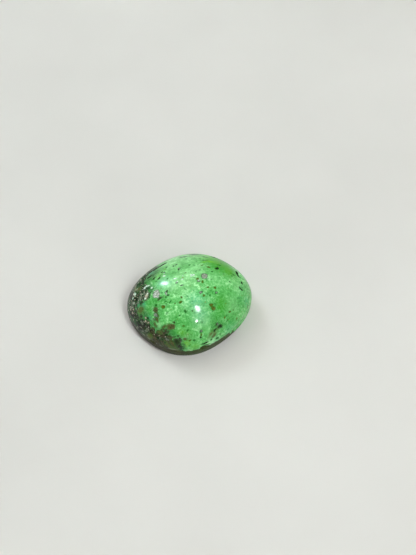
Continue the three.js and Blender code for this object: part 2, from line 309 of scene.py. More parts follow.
marks = {
    "olive": [  # soft brownish stains
        (-8.2, -0.8, 1.5, 1.0, 20), (-7.5, 2.8, 0.9, 0.8, 50), (-8.1, 3.24, 0.7, 0.7, 50),
        (-7.9, -4.4, 0.9, 0.8, 0), (-5.35, -6.95, 1.5, 0.5, 74), (-4.62, -7.3, 1.2, 0.3, 74),
        (-5.0, -4.95, 0.8, 0.4, 10), (-6.32, -5.08, 0.6, 0.5, 0), (1.2, -7.45, 1.1, 0.55, 78),
        (1.85, -7.3, 1.3, 0.45, 68),
    ],
    "earth": [  # grey-brown patches
        (-6.15, -2.2, 0.85, 0.75, 74), (-6.0, -2.95, 1.0, 0.38, 74), (-6.38, -3.5, 0.95, 0.55, 74),
        (-6.72, -3.85, 0.8, 0.26, 80), (1.72, -7.55, 0.85, 0.34, 68),
        (-4.57, -5.33, 1.2, 0.75, 8), (-4.02, -4.93, 0.36, 0.3, 0), (-7.2, -4.0, 0.55, 0.45, 0),
        (-2.9, -7.3, 0.5, 0.4, 0), (-5.6, -4.85, 0.7, 0.4, 20),
        (-4.9, -6.98, 1.6, 0.46, 74), (4.4, 7.0, 0.9, 0.5, -25), (-3.6, 7.2, 0.7, 0.4, 30),
    ],
    "grey": [
        (2.49, 0.55, 1.08, 1.0, 0), (3.49, -2.51, 0.46, 0.4, 0), (1.09, -2.08, 0.6, 0.42, 30),
        (1.28, -0.13, 0.42, 0.32, 0), (-3.2, 3.4, 0.34, 0.28, 0), (-0.9, 3.1, 0.54, 0.34, 20),
        (-2.0, 0.56, 0.4, 0.3, 20), (2.49, -6.49, 0.56, 0.44, 20), (-0.29, -7.05, 0.5, 0.4, 0),
        (-1.37, -0.07, 0.4, 0.2, -10), (-9.5, 0.7, 0.5, 0.6, 0),
        (4.2, 4.9, 0.5, 0.2, -20), (-7.15, 1.36, 0.6, 0.4, 40), (-7.45, 1.4, 0.4, 0.4, 0),
        (6.3, 6.0, 0.6, 0.4, 30), (0.2, 7.9, 0.5, 0.36, 0),
        (-8.0, 1.2, 0.7, 0.4, 50), (-8.2, 0.9, 0.5, 0.5, 0), (-7.88, 0.7, 0.6, 0.4, 60),
        (-8.3, 0.48, 0.55, 0.4, 50), (-8.95, 1.0, 0.6, 0.5, 60), (-6.43, -2.76, 0.66, 0.6, 60),
    ],
    "sand": [  # pinkish and cream grains
        (-7.8, -2.25, 0.5, 0.4, 60), (-9.42, -0.1, 0.46, 0.4, 0),
        (-7.57, -3.07, 0.6, 0.42, 0), (-7.92, -2.71, 0.5, 0.35, 70), (-6.85, 0.6, 1.25, 0.62, 50),
        (-7.9, 3.95, 1.3, 0.26, 62), (-6.5, 2.72, 0.3, 0.26, 0), (-9.55, 0.65, 0.5, 0.5, 0),
        (-7.7, 0.95, 0.35, 0.3, 0), (-8.55, 2.0, 0.4, 0.3, 0), (-5.7, -5.98, 0.36, 0.26, 0),
        (-5.0, 3.6, 0.3, 0.2, 0), (-9.2, 0.2, 0.4, 0.4, 0), (-8.2, 4.15, 1.5, 0.32, 58),
        (-7.6, 4.75, 1.3, 0.3, 50),
    ],
    "silver": [
        (-5.38, 0.07, 1.25, 1.2, 0), (-5.22, 0.5, 0.7, 0.6, 0), (-5.8, -0.05, 0.62, 0.6, 0),
        (-5.3, -0.42, 0.7, 0.5, -20), (-4.02, -0.47, 0.7, 0.42, 70),
    ],
    "pebble": [  # grey-green lumps in the host rock
        (-8.5, -2.42, 0.8, 0.7, 30), (-8.1, -3.63, 1.0, 0.85, 40), (-8.7, -3.15, 0.5, 0.9, 40),
        (-9.2, -2.2, 0.5, 0.5, 0), (-6.7, -3.2, 0.5, 0.36, 70), (-7.6, 4.6, 0.9, 0.36, 52),
        (-6.95, 4.4, 0.6, 0.26, 50),
        (-7.1, 3.55, 0.5, 0.3, 50), (-5.9, 4.7, 0.7, 0.3, 40), (-8.3, 3.1, 0.5, 0.4, 60),
        (-5.5, -6.3, 0.9, 0.5, -20), (-6.5, -5.6, 0.7, 0.5, 20), (-4.5, 6.2, 2.0, 0.6, 22),
        (-6.2, 5.6, 1.7, 0.6, 38), (-7.75, 4.55, 1.5, 0.55, 52), (-8.35, 3.9, 1.3, 0.4, 60),
    ],
    "moss": [  # dark green specks
        (5.45, 2.6, 0.75, 0.36, -15), (3.9, 1.2, 0.4, 0.34, 0), (7.3, 0.6, 0.42, 0.3, 0),
        (6.9, 0.2, 0.3, 0.24, 0), (-2.6, 4.4, 0.4, 0.3, 0), (-2.3, -6.5, 0.34, 0.3, 0),
        (-1.55, -7.7, 0.5, 0.36, 0), (2.36, -2.75, 0.26, 0.22, 0), (-2.9, -4.4, 0.3, 0.24, 0),
        (-1.9, -4.2, 0.42, 0.3, 20), (-0.9, -4.4, 0.3, 0.3, 0), (2.2, -7.7, 0.6, 0.4, 0),
        (8.4, -3.9, 0.3, 0.6, 0), (1.2, -7.86, 0.45, 0.36, 0), (2.6, 6.3, 2.0, 0.6, -8),
        (4.0, 5.0, 1.1, 0.4, -20),
        (0.6, 6.0, 1.5, 0.4, 0), (-4.2, -1.1, 0.3, 0.24, 0), (4.3, -6.0, 0.3, 0.24, 0),
        (-6.38, 3.03, 0.5, 0.4, 0), (-5.44, 3.4, 0.4, 0.3, 0), (5.3, 5.1, 1.0, 0.4, -30),
        (0.9, 3.4, 0.26, 0.2, 0), (-3.1, 1.9, 0.3, 0.2, 0), (-5.4, 4.0, 0.9, 0.4, -20),
        (-5.44, 3.0, 0.4, 0.28, 0), (-4.77, 2.28, 0.4, 0.24, 0), (-5.9, -1.6, 0.5, 0.4, 60),
        (-4.4, -1.7, 0.4, 0.26, 0), (-3.7, -2.0, 0.5, 0.2, 40), (6.2, -0.9, 0.3, 0.24, 0),
        (0.2, -8.3, 1.4, 0.4, 5),
    ],
    "lemon": [(4.37, 3.6, 1.3, 0.55, -13), (3.3, 3.5, 0.7, 0.3, 0), (-3.0, 4.1, 0.4, 0.3, 0)],
    "paintedShade": [  # painted shade: soft dark places, several of them over pits
        (2.87, -6.75, 0.85, 0.6, 10), (2.35, -6.55, 0.5, 0.2, 60), (-4.18, -7.12, 1.2, 0.8, 74),
        (-4.0, -4.95, 0.3, 0.24, 60), (-4.25, 5.65, 1.5, 0.9, 10), (-5.42, 3.99, 0.7, 0.4, -3),
        (-8.5, -3.6, 0.6, 0.5, 0), (-6.2, -5.9, 0.6, 0.46, 0), (-5.89, -6.41, 0.4, 0.4, 0),
        (-5.05, -0.85, 0.8, 0.36, 10), (-8.8, -1.35, 0.8, 0.6, 60), (-8.35, -1.75, 0.6, 0.5, 30),
    ],
    "rust": [
        (2.4, -4.6, 0.66, 0.62, 0), (2.2, -4.15, 0.58, 0.6, 0), (1.3, 0.26, 0.42, 0.34, 30),
        (-1.93, -2.0, 0.38, 0.34, 80),
        (-2.3, -2.7, 0.6, 0.36, 20), (1.86, -0.35, 0.66, 0.34, 85), (5.0, -5.1, 0.42, 0.38, 0),
        (1.46, -2.63, 0.42, 0.34, -20), (-4.95, -2.3, 0.62, 0.58, 0), (3.5, -1.7, 0.48, 0.4, -20),
        (2.4, -1.5, 0.42, 0.16, 5), (-2.26, -7.58, 0.4, 0.36, 0), (3.93, -5.76, 0.4, 0.36, 0),
        (5.94, -5.7, 0.6, 0.26, 100), (-0.34, -7.4, 0.56, 0.26, 95), (3.65, 2.2, 0.66, 0.4, -30),
        (2.7, 2.8, 0.42, 0.2, 0), (5.56, -4.88, 0.2, 0.18, 0), (-3.2, -2.5, 0.26, 0.22, 0),
        (-0.2, 1.9, 0.3, 0.16, 0), (-2.7, -5.9, 0.3, 0.24, 0), (3.7, 7.4, 0.5, 0.4, 0),
        (-0.9, 7.6, 0.6, 0.3, 10), (8.4, 2.9, 0.4, 0.36, 0), (1.7, 8.0, 0.4, 0.3, 0),
    ],
    "black": [
        (4.95, 1.9, 0.74, 0.66, 20), (8.2, 0.95, 1.6, 0.8, 96), (8.35, -0.75, 0.5, 0.42, 60),
        (7.8, -1.75, 0.85, 0.42, -50),
        (1.95, -7.1, 0.75, 0.34, 76), (-0.46, -7.6, 0.36, 0.34, 0),
        (-1.0, 4.2, 0.42, 0.26, 30), (-1.5, 4.15, 0.3, 0.24, 0),
        (-5.0, 3.1, 0.5, 0.32, 10), (-4.3, 2.66, 0.5, 0.3, 20), (3.6, 4.05, 0.8, 0.2, 5),
        (-1.05, 2.95, 0.3, 0.2, 40), (-3.5, 3.7, 0.4, 0.2, 15),
        (-3.82, -0.86, 0.4, 0.22, 0), (-3.72, -0.3, 0.24, 0.34, 0), (0.1, -8.1, 1.15, 0.4, 8),
        (-3.0, 5.62, 1.7, 0.6, 12), (-4.15, 5.3, 1.2, 0.7, 10), (-5.1, 5.15, 1.1, 0.6, 12),
        (-5.95, 4.85, 1.2, 0.55, 24), (-5.5, 3.95, 0.9, 0.4, 6), (-6.4, 4.1, 1.2, 0.5, 42),
        (-6.55, 4.5, 1.3, 0.5, 51), (-6.7, 3.5, 1.3, 0.5, 46), (-6.92, 2.66, 0.6, 0.5, 0),
        (-7.2, 3.3, 1.0, 0.36, 55), (-6.42, 1.87, 0.32, 0.26, 0), (-6.5, 4.6, 0.6, 0.4, 35),
        (-6.6, 3.65, 0.65, 0.38, 30), (-7.2, 4.03, 0.6, 0.36, 70), (-7.3, 4.9, 1.0, 0.4, 52),
        (-6.76, 1.78, 0.34, 0.3, 0), (-7.28, 1.04, 0.36, 0.3, 0), (-8.5, 1.5, 0.9, 0.6, 60),
        (-6.44, 0.36, 0.8, 0.16, 58), (-7.5, -2.5, 0.5, 0.36, 74), (-9.0, -2.8, 0.5, 0.5, 0),
        (-8.9, -1.9, 0.7, 0.5, 70), (-6.78, -5.38, 0.5, 0.4, 0), (-5.48, -5.84, 0.5, 0.4, 0),
        (0.6, 7.2, 0.8, 0.4, 10), (5.6, 5.2, 1.1, 0.3, -35),
        (7.0, 0.9, 0.34, 0.2, 0), (-9.1, 1.8, 0.5, 0.4, 0), (-2.7, 7.5, 1.5, 0.2, 35),
        (-1.7, 8.0, 1.0, 0.16, 10), (7.2, 5.0, 0.7, 0.36, -50), (2.9, 7.7, 0.5, 0.4, 0),
    ],
    "cream": [
        (-7.12, 0.32, 0.42, 0.38, 50), (-6.66, 0.86, 0.34, 0.26, 50), (-6.74, 2.12, 0.6, 0.32, 66),
        (-6.42, 2.28, 0.42, 0.28, 0), (-6.08, 2.14, 0.7, 0.3, -12), (-5.76, 1.52, 0.5, 0.36, 40),
        (-3.39, 2.66, 0.4, 0.36, 0), (-3.3, 3.25, 0.3, 0.2, 0), (-2.05, 1.33, 0.78, 0.22, 0),
        (-1.0, 0.86, 0.36, 0.32, 0), (0.78, 1.1, 0.72, 0.36, 10), (0.5, 1.3, 0.3, 0.2, 0),
        (-8.4, 2.46, 0.65, 0.2, 62), (-8.81, 1.99, 0.32, 0.26, 0),
        (-1.75, 0.75, 0.3, 0.26, 0), (-0.7, 1.5, 0.3, 0.22, 0), (1.32, 0.0, 0.2, 0.16, 0),
    ],
}

# The edge between green stone and host rock, from the far rim over the dome to the near rim.
rockBorder = [
    (-3.0, 9.0), (-3.4, 6.9), (-4.6, 5.7), (-5.4, 5.2), (-5.9, 4.5), (-6.1, 4.0), (-6.4, 3.6),
    (-6.6, 2.9), (-6.4, 2.4), (-5.9, 2.0), (-5.8, 1.2), (-6.3, 0.4), (-7.1, 0.05), (-7.9, 0.3), (-8.7, 0.1),
    (-8.9, -0.6), (-8.7, -1.3), (-8.3, -2.0), (-7.6, -2.4), (-7.2, -3.1), (-7.2, -3.9),
    (-6.8, -4.5), (-5.9, -4.9), (-5.3, -5.4), (-4.9, -6.1), (-4.3, -6.6), (-3.6, -7.1), (-3.1, -9.0),
]

# Soft zones of colour: x, y, radius and strength.
zones = {
    # richer green; the zones along the right rim, at x of 7.4 to 8.5, are painted shade
    "richGreenAndShade": [
        (3.7, -4.4, 1.8, 1.0), (4.8, -6.2, 2.0, 0.85), (-7.0, -1.2, 1.1, 0.5), (-4.6, -6.1, 0.8, 0.9),
        (5.8, 3.1, 2.5, 1.9), (6.9, 1.4, 1.6, 1.5), (-5.95, 3.25, 0.7, 0.9), (-5.2, 2.85, 0.7, 0.6),
        (7.4, -4.2, 2.0, 0.6), (-2.5, -5.6, 1.0, 0.4), (2.2, -0.9, 0.8, 0.25), (3.4, 6.2, 1.8, 0.7),
        (-5.4, -1.3, 0.8, 0.4), (3.4, -5.8, 2.4, 0.5), (5.6, -2.6, 2.0, 0.3), (-0.4, -6.4, 2.0, 0.25),
        (8.5, -3.7, 1.3, 0.6), (7.6, -5.0, 1.2, 0.5),
    ],
    "deep": [
        (-7.85, -1.8, 1.0, 0.9), (-6.17, 1.2, 0.5, 1.0), (-4.65, 4.25, 0.6, 0.9), (-3.95, 4.3, 0.5, 0.7),
        (-6.1, -2.2, 0.9, 0.5), (2.6, -6.6, 1.0, 0.5), (-2.6, -7.2, 0.8, 0.4), (-4.9, -5.7, 0.7, 0.5),
        (-5.0, 4.0, 0.9, 1.3), (-4.4, 4.4, 1.0, 1.2), (-5.7, 3.6, 0.7, 1.1), (-5.9, 3.0, 0.5, 0.8),
    ],
    "lime": [
        (4.4, 3.6, 0.6, 0.5), (3.8, 3.75, 0.4, 0.5), (5.6, 3.1, 1.6, 0.35), (6.8, 1.3, 1.4, 0.4),
        (-2.8, -7.7, 0.7, 0.8), (-2.6, -6.9, 0.8, 0.4), (4.6, 4.9, 1.7, 0.4), (3.9, -4.0, 1.1, 0.15),
        (5.3, 3.5, 0.9, 0.6), (-1.6, -8.2, 0.8, 0.45), (-4.9, -6.6, 0.45, 0.7), (-3.1, -6.6, 0.7, 0.5),
        (-4.2, 3.2, 0.8, 0.4),
    ],
    "pale": [
        (-0.8, 1.2, 2.4, 0.4), (0.2, -1.2, 1.4, 0.12), (1.8, 2.4, 2.0, 0.45), (-2.6, 5.2, 1.6, 0.4),
        (1.3, -8.0, 0.85, 1.3), (-2.2, -3.4, 1.2, 0.12), (0.4, -6.0, 1.3, 0.45), (-1.4, 4.6, 2.0, 0.55),
        (7.2, -1.2, 1.7, 0.3), (1.6, 5.8, 1.6, 0.35), (4.0, 0.2, 1.4, 0.3), (-6.2, -4.2, 0.5, 0.6),
        (-3.4, 0.6, 1.3, 0.4),
        (-7.05, -3.0, 0.25, 0.8), (5.6, -4.4, 1.5, 0.4), (-0.6, 6.3, 2.6, 0.5),
        (0.6, 4.2, 2.4, 0.35), (-3.3, 3.0, 1.5, 0.35), (3.2, 5.2, 1.4, 0.4),
    ],
    "tealAndSheen": [
        # teal; the zones just above and below the window glint and at the lamp glint are a painted bluish
        # sheen
        (-8.3, -0.1, 0.55, 1.0), (-7.7, -0.35, 0.5, 1.0), (-5.0, 4.65, 0.55, 1.0), (0.1, -3.2, 1.6, 0.4),
        (-7.28, -2.6, 0.35, 0.9), (-3.9, 1.4, 1.3, 0.45), (2.0, -7.9, 0.8, 0.4), (0.2, -5.2, 1.4, 0.35),
        (7.8, -3.2, 1.5, 0.12), (4.6, -6.9, 1.4, 0.3), (8.3, -3.4, 0.8, 0.35),
    ],
    "pepper": [
        (-7.6, 1.2, 1.7, 1.0), (-9.2, 0.4, 1.4, 0.9), (-8.2, 2.6, 1.2, 0.8), (-7.3, 4.5, 1.4, 0.8),
    ],
    "mud": [(-5.8, -6.0, 2.1, 1.0), (-7.2, -5.0, 1.7, 1.0), (-6.2, -5.2, 1.2, 1.0)],
}


relief = {  # millimetres; rows of three are the size of a lump, its height and its start in the noise
    "pitRims": (0.8, 0.14, 4.0),
    "markRims": (0.55, 0.16, 7.0),
    "rockLumps": (1.1, 0.035, 9.0),
    "rockGrains": (0.35, 0.022, 2.0),
    "rockFade": 0.8,           # over this width the rock's relief comes in
    "rockFadeStart": 0.3,      # and this share of it is there at the border
    "flatBack": 0.02,          # below this height the rock stays smooth
    "markDip": 0.012,          # dark marks polish away faster than the green stone
    "markDipRim": 0.1,
    "pitUnevenness": 0.16,
    "pitWall": 0.6,            # a lower number makes a pit's walls steeper
}
noiseSteps = (0.0, 31.7, 63.1)     # places in the noise that have nothing to do with each other
fieldLimits = (-1.5, 3.0)          # stored fields are cut off here
farOff = 30                        # millimetres, well outside the stone
drawnIn = 0.99                     # a mark that misses the stone moves in to this share of its place
outsideMark = 9.0                  # stands for far from a mark, whose own rim is at 1


def readPoints(mesh):
    points = np.empty(len(mesh.vertices) * 3)
    mesh.vertices.foreach_get("co", points)
    return points.reshape(-1, 3) / mm


def writePoints(mesh, points):
    mesh.vertices.foreach_set("co", (points * mm).ravel())
    mesh.update()


def readNormals(mesh):
    normals = np.empty(len(mesh.vertices) * 3, dtype=np.float32)
    mesh.vertex_normals.foreach_get("vector", normals)
    return normals.reshape(-1, 3)


def storeField(mesh, name, values):
    attribute = mesh.attributes.new(name, "FLOAT", "POINT")
    attribute.data.foreach_set("value", np.asarray(values, dtype=np.float32))


def noiseOver(points, size, start):
    return np.array([noise.noise(Vector(p)) for p in points / size + start])


def lumps(points, size, height, start):
    return height * (0.5 + 0.5 * noiseOver(points, size, start))


def warp(points, size, height, start):
    # Blender's own noise_vector takes its seed from the clock, so three plain noises are used.
    shifts = [noiseOver(points, size, start + step) for step in noiseSteps]
    return points + height * np.stack(shifts, axis=1)


def fitToFrame(points):
    # The grid has more steps than the solid, so its outline is brought to the solid's exact box.
    low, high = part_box(stoneNode)
    low, high = np.array(low) / mm, np.array(high) / mm
    for axis in (0, 1):
        spread = np.ptp(points[:, axis])
        middle = (points[:, axis].max() + points[:, axis].min()) / 2
        points[:, axis] = (points[:, axis] - middle) * (high[axis] - low[axis]) / spread
    points[:, 2] *= high[2] / points[:, 2].max()
    return points


def seatFinder(mesh):
    # Finds where a straight line from outside meets the stone.
    points = readPoints(mesh)
    corners = [tuple(polygon.vertices) for polygon in mesh.polygons]
    tree = BVHTree.FromPolygons([Vector(p) for p in points], corners)

    def seat(start, direction):
        # A line that passes just outside the rim is drawn in towards the middle until it meets it.
        start = Vector(start)
        place, normal, _, _ = tree.ray_cast(start, Vector(direction))
        while place is None:
            start.x *= drawnIn
            start.y *= drawnIn
            place, normal, _, _ = tree.ray_cast(start, Vector(direction))
        return np.array(place), np.array(normal)

    return seat


def seatOn(seat, x, y, side=1):
    # side is 1 on the dome and -1 on the back
    return seat((x, y, farOff * side), (0, 0, -side))


def markFrame(place, normal, heading):
    across = np.cross(normal, heading)
    across /= np.linalg.norm(across)
    return place, normal, np.cross(across, normal), across


def onFace(seat, x, y, turn, side=1):
    heading = np.array((math.cos(math.radians(turn)), math.sin(math.radians(turn)), 0))
    return markFrame(*seatOn(seat, x, y, side), heading)


def onGirdle(seat, around, drop):
    angle = math.radians(around)
    outward = np.array((math.cos(angle), math.sin(angle), 0))
    height = stoneCut["Girdle Height"] + stoneCut["Girdle Tilt"] * math.cos(angle) - drop
    place, _ = seat((*(outward[:2] * farOff), height), -outward)
    return markFrame(place, outward, np.array((-outward[1], outward[0], 0)))


def localPlace(points, markPlace, length, width):
    # How far each point lies from the middle of a mark, where 1 is its rim.
    place, normal, along, across = markPlace
    offset = points - place
    u = offset @ along / (length / 2)
    v = offset @ across / (width / 2)
    reach = np.hypot(u, v)
    reach[np.abs(offset @ normal) > max(length, width)] = outsideMark
    return reach, np.arctan2(v, u)


def pitDepth(points, markPlace, length, width, deep):
    # Each rim has three soft lobes, turned by an amount that comes from the pit's size.
    reach, around = localPlace(points, markPlace, length, width)
    reach = reach / (1 + relief["pitUnevenness"] * np.sin(3 * around + math.pi * (length + width)))
    return deep * np.clip(1 - reach ** 2, 0, 1) ** relief["pitWall"]


def placeCuts(seat):
    for side, places in ((1, pits), (-1, backPits)):
        for x, y, length, width, turn, deep in places:
            yield onFace(seat, x, y, turn, side), length, width, deep
    for around, drop, length, width, deep in girdleChips:
        yield onGirdle(seat, around, drop), length, width, deep


def markField(points, seat, places):
    # Millimetres inside the nearest mark of one kind, and below zero outside it.
    inside = np.full(len(points), -1.0)
    for x, y, length, width, turn in places:
        reach, _ = localPlace(points, onFace(seat, x, y, turn), length, width)
        inside = np.maximum(inside, (1 - reach) * min(length, width) / 2)
    return inside


def zoneField(points, seat, places):
    strongest = np.zeros(len(points))
    for x, y, radius, strength in places:
        distance = np.linalg.norm(points - seatOn(seat, x, y)[0], axis=1)
        strongest = np.maximum(strongest, strength * np.exp(-(distance / radius) ** 2))
    return strongest


def borderField(points):
    # Millimetres inside the host rock, measured in plan from its border line.
    border = np.array(rockBorder)
    nearest = np.full(len(points), np.inf)
    for start, end in zip(border[:-1], border[1:]):
        side = end - start
        share = np.clip((points[:, :2] - start) @ side / (side @ side), 0, 1)
        gap = points[:, :2] - start - share[:, None] * side
        nearest = np.minimum(nearest, np.hypot(gap[:, 0], gap[:, 1]))
    order = np.argsort(border[:, 1])
    lineX = np.interp(points[:, 1], border[order, 1], border[order, 0])
    return np.where(points[:, 0] < lineX, nearest, -nearest)


def shapeStone(stone):
    # Cuts the pits and chips, roughens the host rock, and stores what the finish reads.
    mesh = stone.data
    writePoints(mesh, fitToFrame(readPoints(mesh)))
    seat = seatFinder(mesh)
    points = readPoints(mesh)
    normals = readNormals(mesh)
    halfLength = (cadHigh.x - cadLow.x) / 2 / mm
    girdleLine = stoneCut["Girdle Height"] + stoneCut["Girdle Tilt"] * points[:, 0] / halfLength

    uneven = warp(points, *relief["markRims"])
    fields = {kind: markField(uneven, seat, places) for kind, places in marks.items()}
    fields |= {name: zoneField(points, seat, places) for name, places in zones.items()}
    fields["rock"] = borderField(points)
    fields["below"] = girdleLine - points[:, 2]
    fields["hollow"] = np.zeros(len(points))

    dip = np.zeros((len(points), 3))
    uneven = warp(points, *relief["pitRims"])
    for markPlace, length, width, deep in placeCuts(seat):
        depth = pitDepth(uneven, markPlace, length, width, deep)
        dip += depth[:, None] * markPlace[1]
        fields["hollow"] = np.maximum(fields["hollow"], depth)

    rockShare = np.clip(fields["rock"] / relief["rockFade"] + relief["rockFadeStart"], 0, 1)
    rockShare = rockShare * (points[:, 2] > relief["flatBack"])
    rough = lumps(points, *relief["rockLumps"]) + lumps(points, *relief["rockGrains"])
    lowered = rockShare * rough
    for kind in ("black", "rust", "earth"):
        lowered += relief["markDip"] * np.clip(fields[kind] / relief["markDipRim"], 0, 1)
    writePoints(mesh, points - dip - lowered[:, None] * normals)
    for name, values in fields.items():
        storeField(mesh, name, np.clip(values, *fieldLimits))
    mesh.polygons.foreach_set("use_smooth", [True] * len(mesh.polygons))
    mesh.update()


# Shader helpers. Places are in millimetres, and how fine a pattern is is given per millimetre. In
# the looks below, two numbers are a span that becomes 0 to 1, and four say what it becomes instead.

def newMaterial(name):
    material = bpy.data.materials.new(name)
    material.use_nodes = True
    tree = material.node_tree
    return material, tree, tree.nodes["Principled BSDF"]


def shiftPlace(tree, place, start, stretch=(1, 1, 1)):
    inputs = {"Vector": place, "Location": start, "Scale": stretch}
    return addNode(tree, "ShaderNodeMapping", inputs).outputs[0]


def stonePlace(tree):
    coordinates = addNode(tree, "ShaderNodeTexCoord", {})
    return shiftPlace(tree, coordinates.outputs["Object"], (0, 0, 0), (1 / mm, 1 / mm, 1 / mm))


def noiseNode(tree, place, perMm, detail=3.0, roughness=0.55, start=None, stretch=(1, 1, 1)):
    if start is not None:
        place = shiftPlace(tree, place, start, stretch)
    inputs = {"Vector": place, "Scale": perMm, "Detail": detail, "Roughness": roughness}
    return addNode(tree, "ShaderNodeTexNoise", inputs).outputs[0]


def stretchValue(tree, value, low, high, toLow=0.0, toHigh=1.0):
    inputs = {"Value": value, "From Min": low, "From Max": high, "To Min": toLow, "To Max": toHigh}
    return addNode(tree, "ShaderNodeMapRange", inputs, interpolation_type="SMOOTHSTEP").outputs[0]


def spannedNoise(tree, place, span, **look):
    # Noise whose span from one value to the other becomes 0 to 1.
    return stretchValue(tree, noiseNode(tree, place, **look), *span)


def centredNoise(tree, place, **look):
    return minus(tree, noiseNode(tree, place, **look), 0.5)


def cellNode(tree, place, perMm):
    # The distance to the middle of the nearest cell, and two random values of that cell.
    cells = addNode(tree, "ShaderNodeTexVoronoi", {"Vector": place, "Scale": perMm})
    chances = addNode(tree, "ShaderNodeSeparateColor", {0: cells.outputs["Color"]})
    return cells.outputs["Distance"], chances.outputs[0], chances.outputs[1]


def storedField(tree, name):
    return addNode(tree, "ShaderNodeAttribute", {}, attribute_name=name).outputs["Fac"]


def blend(tree, factor, under, over):
    node = addNode(tree, "ShaderNodeMix", {0: factor}, data_type="RGBA")
    sockets = [socket for socket in node.inputs if socket.type == "RGBA"]
    for socket, colour in zip(sockets, (under, over)):
        feed(tree, socket, linearColour(colour) if isinstance(colour, str) else colour)
    return next(socket for socket in node.outputs if socket.type == "RGBA")


def ramp(tree, value, stops):
    node = addNode(tree, "ShaderNodeValToRGB", {0: value})
    elements = node.color_ramp.elements
    while len(elements) < len(stops):
        elements.new(0.5)
    for element, (position, colour) in zip(elements, stops):
        element.position = position
        element.color = linearColour(colour)
    return node.outputs[0]


greenLook = {
    "shade": "#359235",
    "leaf": "#54b355",
    "mint": "#6cc96d",
    "pale": "#b1eeae",
    "richGreenAndShade": "#289a1e",
    "deep": "#285f30",
    "lime": "#68b400",
    "tealAndSheen": "#3ab48a",
    "freckle": "#1f6e28",
    "pin": "#758214",
    "tones": ((0.08, "shade"), (0.36, "leaf"), (0.62, "mint"), (0.98, "pale")),
    "grain": {"span": (0.33, 0.66), "perMm": 3.3, "detail": 4.0, "roughness": 0.7},
    "grainShare": 0.45,
    "blotch": {"span": (0.36, 0.64), "perMm": 1.15, "roughness": 0.6, "start": (3, 8, 5)},
    "blotchShare": 0.33,
    "cloud": {"span": (0.35, 0.65), "perMm": 0.3, "detail": 2.0, "start": (7, 2, 9)},
    "cloudShare": 0.22,
    "washOverBlotch": (0.0, 0.8, 0.7, 1.0),    # washes of colour are weaker where blotches are dark
    "washOverGrain": (0.0, 1.0, 1.0, 0.7),     # and where grains are light
    "freckles": {"perMm": 1.5, "radius": 0.34, "share": 0.45, "start": (0, 0, 0)},
    "freckleCover": 0.5,
    "pins": {"perMm": 1.9, "radius": 0.22, "share": 0.16, "start": (5, 3, 2)},
    "pinCover": 0.7,
    "dotRim": {"perMm": 6.0, "detail": 2.0},
    "dotSoftness": 0.08,
}


def scatterDots(tree, place, perMm, radius, share, start):
    # Small dots with ragged rims in a share of the cells.
    place = shiftPlace(tree, place, start)
    distance, chance, sizeChance = cellNode(tree, place, perMm)
    picked = maths(tree, "LESS_THAN", chance, share)
    size = times(tree, sizeChance, radius)
    ragged = plus(tree, distance, noiseNode(tree, place, **greenLook["dotRim"]))
    rim = minus(tree, ragged, 0.5, size)
    return times(tree, picked, stretchValue(tree, rim, greenLook["dotSoftness"], -greenLook["dotSoftness"]))


def greenStone(tree, place):
    # Blotches and fine grains of lighter and deeper green, washed over by broad zones, then dots.
    grain = spannedNoise(tree, place, **greenLook["grain"])
    blotch = spannedNoise(tree, place, **greenLook["blotch"])
    cloud = spannedNoise(tree, place, **greenLook["cloud"])
    tone = plus(
        tree,
        times(tree, grain, greenLook["grainShare"]),
        times(tree, blotch, greenLook["blotchShare"]),
        times(tree, cloud, greenLook["cloudShare"]),
    )
    colour = ramp(tree, tone, [(position, greenLook[name]) for position, name in greenLook["tones"]])
    # Washes of colour; the rich-green washes at the right rim are painted shade, and the teal washes at the
    # glints are a painted sheen.
    for name in ("pale", "richGreenAndShade", "tealAndSheen", "lime", "deep"):
        overBlotch = stretchValue(tree, blotch, *greenLook["washOverBlotch"])
        overGrain = stretchValue(tree, grain, *greenLook["washOverGrain"])
        wash = times(tree, storedField(tree, name), overBlotch, overGrain)
        colour = blend(tree, wash, colour, greenLook[name])
    for dots, cover, dotColour in (("freckles", "freckleCover", "freckle"), ("pins", "pinCover", "pin")):
        share = times(tree, scatterDots(tree, place, **greenLook[dots]), greenLook[cover])
        colour = blend(tree, share, colour, greenLook[dotColour])
    return colour, grain


rockLook = {
    "dark": "#10160a",
    "darkGreen": "#1a4a20",
    "mid": "#2e3b22",
    "grey": "#64725e",
    "beige": "#94927c",
    "bright": "#dcd8c8",
    "mud": "#34321c",
    "mudPale": "#5b5838",
    "mudGreen": "#433f22",
    "tones": (
        (0.0, "dark"), (0.32, "dark"), (0.48, "mid"), (0.66, "grey"), (0.84, "beige"), (1.0, "bright"),
    ),
    "bendPerMm": 2.6,
    "bend": 0.5,
    "grainsPerMm": 3.6,
    "grainShare": 0.5,
    "sand": {"perMm": 8.0, "detail": 2.0, "roughness": 0.5, "start": (1, 9, 4)},
    "sandShare": 1.1,
    "clumps": {"perMm": 1.15, "roughness": 0.6, "start": (6, 1, 3)},
    "clumpShare": 1.5,
    "pepperShare": 0.3,
    "stains": {"span": (0.46, 0.6), "perMm": 0.9, "start": (8, 3, 6)},
    "stainedTones": (0.85, 0.5),       # light grains take no stain
    "pebblesPerMm": 2.2,
    "mudGreenClumps": (0.5, 0.68),
    "crumbs": {"span": (0.56, 0.4), "perMm": 6.0, "detail": 2.0},
    "crumbCover": 0.65,
    "metalTones": (0.9, 1.0),          # the lightest grains are metallic
    "metalOutOfMud": (0.6, 0.1),
    "toneHeight": 0.7,
    "crumbHeight": -0.3,
}


